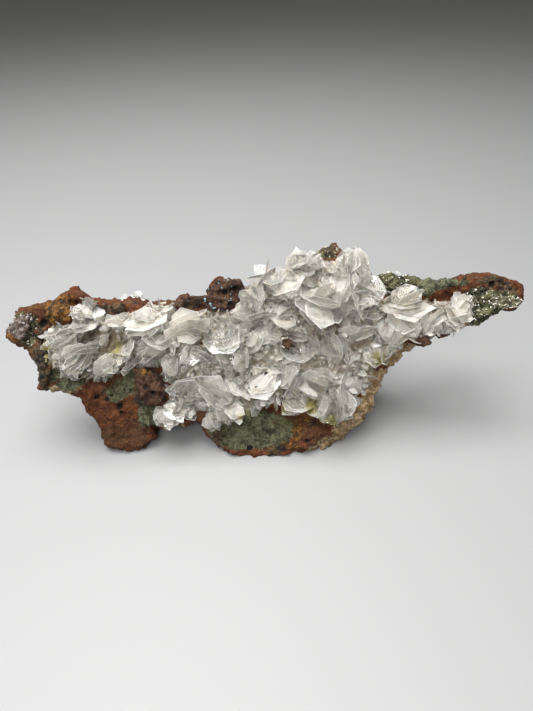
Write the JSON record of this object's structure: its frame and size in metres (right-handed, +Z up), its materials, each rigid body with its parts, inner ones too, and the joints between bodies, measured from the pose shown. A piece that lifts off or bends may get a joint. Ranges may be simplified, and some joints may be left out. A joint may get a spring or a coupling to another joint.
{
  "type": "mineral specimen",
  "caption": "Leaning plate of altered basalt whose face is covered by intergrown lens-shaped mouse ear calcite crystals; it rests on a flat spot of the rock.",
  "frame": {"origin": "middle of the base of the box around the whole specimen, on the surface that it rests on", "axes": "+Z up, +X along the specimen to the right as seen from its crystal side, the crystal face looks along -Y and up"},
  "size_m": [0.2028, 0.0522, 0.0749],
  "materials": {
    "basalt": "matte",
    "calcite": "gloss",
    "calcite_small": "gloss",
    "druse_left": "satin",
    "druse_right": "satin"
  },
  "bodies": {
    "root": {"matrix": "basalt", "calcite_field": "calcite", "calcite_rear": "calcite_small", "druse_left": "druse_left", "druse_right": "druse_right"}
  },
  "joints": []
}
